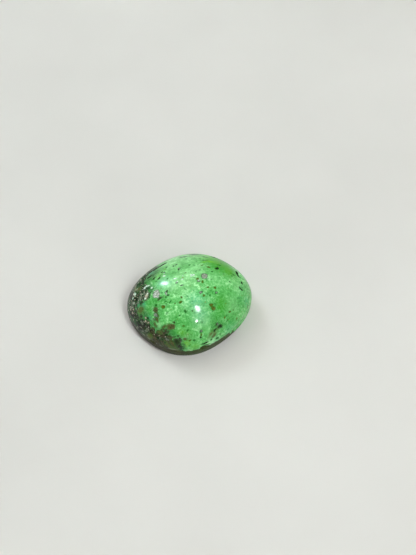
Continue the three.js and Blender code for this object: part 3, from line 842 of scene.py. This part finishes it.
def hostRock(tree, place):
    # Salt and pepper grains, turning to grey-brown pebbly rock in the mud zone.
    sway = addNode(tree, "ShaderNodeTexNoise", {"Vector": place, "Scale": rockLook["bendPerMm"]})
    swayed = {0: sway.outputs["Color"], 1: (rockLook["bend"],) * 3, 2: place}
    bent = addNode(tree, "ShaderNodeVectorMath", swayed, operation="MULTIPLY_ADD").outputs[0]
    mud = storedField(tree, "mud")
    clumps = noiseNode(tree, place, **rockLook["clumps"])

    _, grainTone, _ = cellNode(tree, bent, rockLook["grainsPerMm"])
    tone = plus(
        tree,
        times(tree, grainTone, rockLook["grainShare"]),
        times(tree, centredNoise(tree, bent, **rockLook["sand"]), rockLook["sandShare"]),
        times(tree, minus(tree, clumps, 0.5), rockLook["clumpShare"]),
        times(tree, storedField(tree, "pepper"), rockLook["pepperShare"]),
    )
    salt = ramp(tree, tone, [(position, rockLook[name]) for position, name in rockLook["tones"]])
    stained = spannedNoise(tree, place, **rockLook["stains"])
    stained = times(tree, stained, stretchValue(tree, tone, *rockLook["stainedTones"]))
    salt = blend(tree, stained, salt, rockLook["darkGreen"])

    _, pebbleTone, _ = cellNode(tree, bent, rockLook["pebblesPerMm"])
    muddy = blend(tree, pebbleTone, rockLook["mud"], rockLook["mudPale"])
    greener = stretchValue(tree, clumps, *rockLook["mudGreenClumps"])
    muddy = blend(tree, greener, muddy, rockLook["mudGreen"])
    crumbs = spannedNoise(tree, bent, **rockLook["crumbs"])
    muddy = blend(tree, times(tree, crumbs, rockLook["crumbCover"]), muddy, rockLook["dark"])
    metal = stretchValue(tree, tone, *rockLook["metalTones"])
    metal = times(tree, metal, stretchValue(tree, mud, *rockLook["metalOutOfMud"]))
    crumbHeight = times(tree, crumbs, rockLook["crumbHeight"])
    height = plus(tree, times(tree, tone, rockLook["toneHeight"]), crumbHeight)
    return blend(tree, mud, salt, muddy), metal, height


borderLook = {
    "wander": 2.6,
    "rim": (-0.16, 0.12),
    "islands": (0.85, 0.45),           # green zones that show through the rock
    "veil": "#2f7a3a",                 # the green darkens on its way to the rock
    "veilRim": (-0.8, 0.1, 0.0, 0.6),
}


def layRock(tree, place, colour, ragged):
    # Lays the host rock over its end of the stone, with green islands and a ragged border.
    edge = plus(tree, storedField(tree, "rock"), times(tree, ragged, borderLook["wander"]))
    islands = greatest(tree, *(storedField(tree, name) for name in ("tealAndSheen", "richGreenAndShade", "deep")))
    cover = stretchValue(tree, edge, *borderLook["rim"])
    cover = times(tree, cover, stretchValue(tree, islands, *borderLook["islands"]))
    rockColour, metal, height = hostRock(tree, place)
    colour = blend(tree, stretchValue(tree, edge, *borderLook["veilRim"]), colour, borderLook["veil"])
    return blend(tree, cover, colour, rockColour), cover, times(tree, metal, cover), height


markLook = {  # colours of the rim, the inside and the grains in it, softness of the rim in mm, cover
    "olive": ("#4c7430", "#46521f", "#60642c", 0.4, 0.85),
    "earth": ("#445a24", "#3e3d1c", "#605b34", 0.16, 0.95),
    "grey": ("#2f5a33", "#788474", "#98a28e", 0.08, 1.0),
    "sand": ("#4c5038", "#9e9a80", "#cdc8b0", 0.07, 1.0),
    "silver": ("#567f58", "#7f9079", "#ccd0c8", 0.1, 1.0),
    "pebble": ("#2e4230", "#58614b", "#7d8670", 0.12, 0.9),
    "moss": ("#278028", "#124a14", "#1c641c", 0.1, 1.0),
    "lemon": ("#58b020", "#4cb000", "#68b808", 0.12, 0.95),
    # painted shade, laid on like a mark
    "paintedShade": ("#345628", "#172a14", "#2a3c1c", 0.16, 1.0),
    "rust": ("#3f7414", "#3f5a0a", "#62680f", 0.09, 1.0),
    "black": ("#1c4718", "#080e05", "#15240d", 0.07, 1.0),
    "cream": ("#9cc4a4", "#eef7f0", "#ffffff", 0.05, 1.0),
}
markGrain = {
    "rim": {"perMm": 3.6, "start": (9, 4, 1)},
    "wander": 0.22,
    "softnessInside": 0.6,     # as a share of the softness outside
    "mottle": {"perMm": 5.5, "roughness": 0.6, "start": (2, 5, 8)},
    "grains": {"span": (0.44, 0.58), "perMm": 5.5, "roughness": 0.6, "start": (6, 6, 2)},
    "coreRise": 2.6,
    "core": (0.5, 0.9),
}


def paintMarks(tree, place, colour):
    # Lays each kind of mark over the stone, with a ragged rim and a mottled inside.
    wander = times(tree, centredNoise(tree, place, **markGrain["rim"]), markGrain["wander"])
    mottle = noiseNode(tree, place, **markGrain["mottle"])
    grains = spannedNoise(tree, place, **markGrain["grains"])
    covers = {}
    for kind, (outer, inner, grain, softness, share) in markLook.items():
        edge = plus(tree, storedField(tree, kind), wander)
        cover = stretchValue(tree, edge, -softness, softness * markGrain["softnessInside"], 0.0, share)
        core = plus(tree, times(tree, edge, markGrain["coreRise"]), mottle)
        core = stretchValue(tree, core, *markGrain["core"])
        colour = blend(tree, cover, colour, blend(tree, core, outer, blend(tree, grains, inner, grain)))
        covers[kind] = cover
    return colour, covers


bevelShadeAndRimHighlightLook = {  # painted shade over the bevel under the girdle, in dark olive streaks; it thins out at the green end and on the far side
    "tones": (
        (0.34, "#1c1a0a"), (0.46, "#3a3a17"), (0.54, "#24240d"), (0.62, "#404c1d"), (0.72, "#58682f"),
    ),
    "streaks": {
        "perMm": 1.2, "detail": 4.0, "roughness": 0.65, "start": (0, 0, 0), "stretch": (0.4, 0.4, 4.0),
    },
    "wander": 0.9,
    "rim": (-0.1, 0.08),
    "greenEndWander": 5.0,
    "greenEnd": (3.9, 7.0, 0.0, 2.9),  # along X the upper rim of the painted shade sinks down the bevel
    "nearSideWander": 12.0,
    "nearSide": (3.0, -2.0),           # along Y, from the far side to the near one
    "farSideCover": (0.0, 1.0, 0.25, 1.0),
    "cover": (-0.3, 0.1, 0.995, 0.94),
    "paintedRimHighlight": "#8f9c78",                 # painted highlight: the rim of the dome is painted pale
    "paintedRimHighlightFrom": (-0.5, -0.25),         # millimetres below the girdle, so these lie above it
    "paintedRimHighlightTo": (-0.02, -0.12),
    "paintedRimHighlightPatches": (-0.02, 0.08),
    "paintedRimHighlightCover": 0.45,
}


def paintBevelShadeAndRimHighlight(tree, place, colour, ragged):
    # Paints shade over the bevel, and a pale painted highlight in patches along the rim above it.
    below = storedField(tree, "below")
    bevel = plus(tree, below, times(tree, ragged, bevelShadeAndRimHighlightLook["wander"]))
    around = splitVector(tree, place)
    greenEnd = plus(tree, around["X"], times(tree, ragged, bevelShadeAndRimHighlightLook["greenEndWander"]))
    bevelShadeBand = minus(tree, bevel, stretchValue(tree, greenEnd, *bevelShadeAndRimHighlightLook["greenEnd"]))
    bevelShadeBand = stretchValue(tree, bevelShadeBand, *bevelShadeAndRimHighlightLook["rim"])
    nearSide = plus(tree, around["Y"], times(tree, ragged, bevelShadeAndRimHighlightLook["nearSideWander"]))
    nearSide = stretchValue(tree, nearSide, *bevelShadeAndRimHighlightLook["nearSide"])
    share = stretchValue(tree, ragged, *bevelShadeAndRimHighlightLook["cover"])
    share = times(tree, share, stretchValue(tree, nearSide, *bevelShadeAndRimHighlightLook["farSideCover"]))
    streaks = noiseNode(tree, place, **bevelShadeAndRimHighlightLook["streaks"])
    # painted shade: dark olive streaks cover the bevel, fully on the near side and a quarter on the far
    # side
    colour = blend(tree, times(tree, bevelShadeBand, share), colour, ramp(tree, streaks, bevelShadeAndRimHighlightLook["tones"]))
    # painted highlight: a pale band in patches just above the girdle
    paintedRimHighlight = times(
        tree,
        stretchValue(tree, below, *bevelShadeAndRimHighlightLook["paintedRimHighlightFrom"]),
        stretchValue(tree, below, *bevelShadeAndRimHighlightLook["paintedRimHighlightTo"]),
        stretchValue(tree, ragged, *bevelShadeAndRimHighlightLook["paintedRimHighlightPatches"]),
        bevelShadeAndRimHighlightLook["paintedRimHighlightCover"],
    )
    return blend(tree, paintedRimHighlight, colour, bevelShadeAndRimHighlightLook["paintedRimHighlight"]), stretchValue(tree, bevel, *bevelShadeAndRimHighlightLook["rim"])


glossLook = {
    "mattPits": (0.02, 0.12),
    "mattBevel": 0.65,
    "mattRock": 0.42,
    "mattBlack": 0.8,
    "dullMud": 0.7,
    "roughness": (0.34, 0.75),         # of polished stone and of matt stone
    "grainRoughness": 0.06,
    "metalPolish": 0.12,
    "metal": 0.8,
    "coat": (0.1, 0.9, 0.6, 0.0),      # the wet shine goes as the stone turns matt
    "Coat Roughness": 0.1,
    "Coat IOR": 1.5,
    "IOR": 1.4,
    "Specular IOR Level": 0.25,
}


def polish(tree, shader, matt, grain, metal, mudCover):
    # Sets how the polish changes from wet shine on sound stone to matt in pits and on the bevel.
    rough = stretchValue(tree, matt, 0.0, 1.0, *glossLook["roughness"])
    rough = plus(tree, rough, times(tree, minus(tree, grain, 0.5), glossLook["grainRoughness"]))
    rough = minus(tree, rough, times(tree, metal, glossLook["metalPolish"]))
    feed(tree, shader.inputs["Roughness"], rough)
    feed(tree, shader.inputs["Metallic"], times(tree, metal, glossLook["metal"]))
    dull = greatest(tree, matt, times(tree, mudCover, glossLook["dullMud"]))
    feed(tree, shader.inputs["Coat Weight"], stretchValue(tree, dull, *glossLook["coat"]))
    for name in ("Coat Roughness", "Coat IOR", "IOR", "Specular IOR Level"):
        shader.inputs[name].default_value = glossLook[name]


grainHeights = {
    "peel": {"perMm": 5.0, "start": (7, 7, 1)},
    "peelShare": 0.06,
    "rockShare": 0.5,
    "grit": {"perMm": 14.0, "roughness": 0.65, "start": (3, 1, 4)},
    "gritShare": 0.7,
    "strength": 0.8,
    "depth": 0.04,                     # millimetres
}


def roughen(tree, shader, place, matt, rockHeight, rockCover):
    # Fine grain that is too small for the mesh.
    height = plus(
        tree,
        times(tree, noiseNode(tree, place, **grainHeights["peel"]), grainHeights["peelShare"]),
        times(tree, rockHeight, rockCover, grainHeights["rockShare"]),
        times(tree, noiseNode(tree, place, **grainHeights["grit"]), matt, grainHeights["gritShare"]),
    )
    bumps = {"Strength": grainHeights["strength"], "Distance": grainHeights["depth"] * mm, "Height": height}
    feed(tree, shader.inputs["Normal"], addNode(tree, "ShaderNodeBump", bumps).outputs[0])


# The host rock, the painted shade on the bevel and the painted rim highlight share one ragged edge.
raggedEdge = {"perMm": 1.3, "detail": 5.0, "roughness": 0.65, "start": (4, 7, 2)}


def turquoiseFinish():
    material, tree, shader = newMaterial("green turquoise")
    place = stonePlace(tree)
    ragged = centredNoise(tree, place, **raggedEdge)
    colour, grain = greenStone(tree, place)
    colour, rockCover, metal, rockHeight = layRock(tree, place, colour, ragged)
    colour, covers = paintMarks(tree, place, colour)
    colour, bevel = paintBevelShadeAndRimHighlight(tree, place, colour, ragged)
    feed(tree, shader.inputs["Base Color"], colour)

    matt = greatest(
        tree,
        stretchValue(tree, storedField(tree, "hollow"), *glossLook["mattPits"]),
        times(tree, bevel, glossLook["mattBevel"]),
        times(tree, rockCover, glossLook["mattRock"]),
        times(tree, covers["black"], glossLook["mattBlack"]),
    )
    polish(tree, shader, matt, grain, metal, times(tree, storedField(tree, "mud"), rockCover))
    roughen(tree, shader, place, matt, rockHeight, rockCover)
    return material


# Metallic grains that show in the polished host rock.

fleckSizes = {
    "Per Square Millimetre": 2.6,
    "Smallest": 0.05,          # the radius of a grain in millimetres
    "Largest": 0.14,
    "Narrowest": 0.55,         # width and thickness are shares of that radius
    "Widest": 1.3,
    "Thickness": 0.22,
    "Sink": 0.012,             # how deep the middle of a grain lies, in millimetres
    "Inside Border": 0.25,     # how far inside the host rock the first grains lie, in millimetres
    "Outside Pepper": 0.25,    # how crowded they are outside the peppery zones
    "Least Upward": 0.05,      # faces that look down have none
    "Seed": 11,
}
fleckLengths = ("Smallest", "Largest", "Sink")


def namedField(tree, name):
    return addNode(tree, "GeometryNodeInputNamedAttribute", {"Name": name}, data_type="FLOAT").outputs[0]


def randomBetween(tree, low, high, seed=0):
    inputs = {2: low, 3: high, "Seed": seed}
    return addNode(tree, "FunctionNodeRandomValue", inputs, data_type="FLOAT").outputs[1]


def buildFleckTree():
    tree, inputs = newTree("pyrite flecks", {"Stone": "Geometry"}, fleckSizes)
    facing = splitVector(tree, addNode(tree, "GeometryNodeInputNormal", {}).outputs[0])
    offBack = maths(tree, "GREATER_THAN", facing["Z"], inputs["Least Upward"])
    inRock = maths(tree, "GREATER_THAN", namedField(tree, "rock"), inputs["Inside Border"])
    crowd = plus(tree, namedField(tree, "pepper"), inputs["Outside Pepper"])
    density = times(tree, offBack, inRock, crowd, inputs["Per Square Millimetre"])
    density = maths(tree, "DIVIDE", density, mm * mm)

    scattered = {"Mesh": inputs["Stone"], "Density": density, "Seed": inputs["Seed"]}
    scatter = addNode(tree, "GeometryNodeDistributePointsOnFaces", scattered)
    sunk = {0: scatter.outputs["Normal"], "Scale": times(tree, inputs["Sink"], -1.0)}
    sink = addNode(tree, "ShaderNodeVectorMath", sunk, operation="SCALE")
    lowered = {"Geometry": scatter.outputs["Points"], "Offset": sink.outputs[0]}
    lower = addNode(tree, "GeometryNodeSetPosition", lowered)

    nugget = addNode(tree, "GeometryNodeMeshIcoSphere", {"Radius": 1.0, "Subdivisions": 1})
    size = randomBetween(tree, inputs["Smallest"], inputs["Largest"], inputs["Seed"])
    width = times(tree, size, randomBetween(tree, inputs["Narrowest"], inputs["Widest"]))
    spin = joinVector(tree, 0.0, 0.0, randomBetween(tree, 0.0, math.tau))
    turned = {0: scatter.outputs["Rotation"], 1: spin}
    turn = addNode(tree, "FunctionNodeRotateRotation", turned, rotation_space="LOCAL")
    place = addNode(tree, "GeometryNodeInstanceOnPoints", {
        "Points": lower.outputs[0],
        "Instance": nugget.outputs["Mesh"],
        "Rotation": turn.outputs[0],
        "Scale": joinVector(tree, size, width, times(tree, size, inputs["Thickness"])),
    })
    return finishTree(tree, place.outputs[0], inputs["Material"])


pyriteLook = {
    "tones": ((0.3, "#8d8a78"), (0.5, "#b9b294"), (0.7, "#d8d2c0")),
    "tone": {"perMm": 2.2, "detail": 2.0},
    "tarnish": {"perMm": 7.0, "start": (2, 9, 4)},
    "roughness": (0.3, 0.7, 0.2, 0.5),
    "metal": 0.9,
}


def pyriteFinish():
    material, tree, shader = newMaterial("pyrite")
    place = stonePlace(tree)
    tone = noiseNode(tree, place, **pyriteLook["tone"])
    tarnish = noiseNode(tree, place, **pyriteLook["tarnish"])
    feed(tree, shader.inputs["Base Color"], ramp(tree, tone, pyriteLook["tones"]))
    feed(tree, shader.inputs["Roughness"], stretchValue(tree, tarnish, *pyriteLook["roughness"]))
    shader.inputs["Metallic"].default_value = pyriteLook["metal"]
    return material


# The studio: a pale floor, three soft boxes, a light overhead and a weak light all round.

camera = {
    "elevation": 60.0,
    "azimuth": -16.15,
    "millimetresAway": 149.0,
    "aimHeight": 3.95,
    "longSideLens": 60.86,
    "sensor": 36,
    "seesFrom": 0.01,
    "seesTo": 20,
    "frameWidth": 416,
    "frameHeight": 555,
    "aimPixelX": 190.0,
    "aimPixelY": 298.2,
}


def cameraAxes():
    elevation = math.radians(camera["elevation"])
    azimuth = math.radians(camera["azimuth"])
    back = Vector((
        math.sin(azimuth) * math.cos(elevation),
        -math.cos(azimuth) * math.cos(elevation),
        math.sin(elevation),
    ))
    right = Vector((math.cos(azimuth), math.sin(azimuth), 0))
    return right, back.cross(right), back


def cameraPlace():
    _, _, back = cameraAxes()
    return (Vector((0, 0, camera["aimHeight"])) + back * camera["millimetresAway"]) * mm


def makeCamera():
    right, up, back = cameraAxes()
    data = bpy.data.cameras.new("camera")
    data.lens = camera["longSideLens"]
    data.sensor_width = camera["sensor"]
    data.clip_start = camera["seesFrom"]
    data.clip_end = camera["seesTo"]
    pixelsAway = camera["longSideLens"] / camera["sensor"] * camera["frameHeight"]
    aim = Vector((
        (camera["aimPixelX"] - camera["frameWidth"] / 2) / pixelsAway,
        (camera["frameHeight"] / 2 - camera["aimPixelY"]) / pixelsAway,
        -1,
    ))
    pan = aim.rotation_difference(Vector((0, 0, -1))).to_matrix()
    axes = Matrix((right, up, back)).transposed()
    piece = addToScene("camera", data)
    piece.matrix_world = Matrix.Translation(cameraPlace()) @ (axes @ pan).to_4x4()
    bpy.context.scene.camera = piece


# Each soft box hangs where its reflection lies on the stone at the glint, with a bright heart and
# a dim surround. Sizes are in metres, and 1 is the brightness of white paper in full light.
softBoxes = {
    "window": {
        "glint": (-0.06, -4.31),
        "away": 0.5,
        "size": (0.35, 0.84),
        "turn": 29.0,
        "colour": (0.9, 0.97, 1.0),
        "heart": 0.155,
        "heartLight": 52.0,
        "surroundLight": 2.0,
    },
    "lamp": {
        "glint": (-3.85, 1.29),
        "away": 0.6,
        "size": (0.31, 0.56),
        "turn": 30.0,
        "colour": (0.78, 0.95, 1.0),
        "heart": 0.22,
        "heartLight": 44.0,
        "surroundLight": 2.5,
    },
    "spark": {
        "glint": (-0.67, -5.78),
        "away": 0.5,
        "size": (0.042, 0.054),
        "turn": 45.0,
        "colour": (1.0, 1.0, 1.0),
        "heart": 0.8,
        "heartLight": 100.0,
        "surroundLight": 0.0,
    },
}


def glowOverBox(data, box):
    # The heart is flat with a quick fall at its rim, and the surround fades out to the box's edge.
    data.use_nodes = True
    tree = data.node_tree
    spot = addNode(tree, "ShaderNodeNewGeometry", {}).outputs["Parametric"]
    middle = addNode(tree, "ShaderNodeVectorMath", {0: spot, 1: (0.5, 0.5, 0)}, operation="DISTANCE")
    reach = times(tree, middle.outputs["Value"], 2.0)
    heart = maths(tree, "POWER", maths(tree, "DIVIDE", reach, box["heart"]), 4.0)
    heart = maths(tree, "EXPONENT", times(tree, heart, -1.0))
    surround = stretchValue(tree, reach, 1.0, 0.0)
    glow = plus(tree, times(tree, heart, box["heartLight"]), times(tree, surround, box["surroundLight"]))
    feed(tree, tree.nodes["Emission"].inputs["Strength"], glow)


def makeSoftBox(name, box, seat):
    place, normal = seatOn(seat, *box["glint"])
    place, normal = Vector(place) * mm, Vector(normal)
    toCamera = (cameraPlace() - place).normalized()
    mirrored = (2 * normal.dot(toCamera) * normal - toCamera).normalized()
    data = bpy.data.lights.new(name, "AREA")
    data.shape = "RECTANGLE"
    data.size, data.size_y = box["size"]
    data.energy = math.pi * data.size * data.size_y
    data.color = box["colour"]
    glowOverBox(data, box)
    right, _, _ = cameraAxes()
    upward = mirrored.cross(right).normalized()
    axes = Matrix((upward.cross(mirrored), upward, mirrored)).transposed()
    axes = axes @ Matrix.Rotation(math.radians(box["turn"]), 3, "Z")
    piece = addToScene(name, data)
    piece.matrix_world = Matrix.Translation(place + mirrored * box["away"]) @ axes.to_4x4()


studio = {
    "overheadPlace": (-0.1, 0.72, 1.2),
    "overheadSize": 1.2,
    "overheadWatts": 4.6,
    "overheadColour": (1.0, 0.94, 0.87),
    "roundColour": (1.0, 0.97, 0.94, 1),
    "roundLight": 0.35,
    "floorReach": 6.0,
    "floorCloudsPerMm": 0.02,
    "floorTones": ((0.3, "#cfccc6"), (0.7, "#d8d5cf")),
    "floorRoughness": 0.85,
}


def makeSky():
    data = bpy.data.lights.new("overhead", "AREA")
    data.shape = "DISK"
    data.size = studio["overheadSize"]
    data.energy = studio["overheadWatts"]
    data.color = studio["overheadColour"]
    piece = addToScene("overhead", data)
    piece.location = studio["overheadPlace"]
    piece.rotation_euler = Vector(piece.location).to_track_quat("Z", "Y").to_euler()
    world = bpy.data.worlds.new("studio")
    world.use_nodes = True
    background = world.node_tree.nodes["Background"]
    background.inputs["Color"].default_value = studio["roundColour"]
    background.inputs["Strength"].default_value = studio["roundLight"]
    bpy.context.scene.world = world


def makeFloor():
    mesh = bpy.data.meshes.new("floor")
    reach = studio["floorReach"]
    corners = [(-reach, -reach, 0), (reach, -reach, 0), (reach, reach, 0), (-reach, reach, 0)]
    mesh.from_pydata(corners, [], [(0, 1, 2, 3)])
    material, tree, shader = newMaterial("pale floor")
    cloud = noiseNode(tree, stonePlace(tree), studio["floorCloudsPerMm"])
    feed(tree, shader.inputs["Base Color"], ramp(tree, cloud, studio["floorTones"]))
    shader.inputs["Roughness"].default_value = studio["floorRoughness"]
    mesh.materials.append(material)
    addToScene("floor", mesh)


print("shaping the stone")
stoneValues = inMetres(stoneCut, stoneLengths)
stoneValues["Length"] = cadHigh.x - cadLow.x
stoneValues["Width"] = cadHigh.y - cadLow.y
stoneValues["Material"] = turquoiseFinish()
stone = runTree(buildStoneTree(), stoneValues, "turquoiseStone")
shapeStone(stone)
print("stone faces:", len(stone.data.polygons))

print("setting the metallic grains")
fleckValues = inMetres(fleckSizes, fleckLengths)
fleckValues["Material"] = pyriteFinish()
flecks = runTree(buildFleckTree(), fleckValues, "pyriteFlecks", stone)
print("grain faces:", len(flecks.data.polygons))

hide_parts(stoneNode)
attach(stone, "root")
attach(flecks, "root")

print("lighting")
makeFloor()
makeCamera()
stoneSeat = seatFinder(stone.data)
for boxName, boxValues in softBoxes.items():
    makeSoftBox(boxName, boxValues, stoneSeat)
makeSky()
bpy.context.scene.view_settings.view_transform = "Standard"
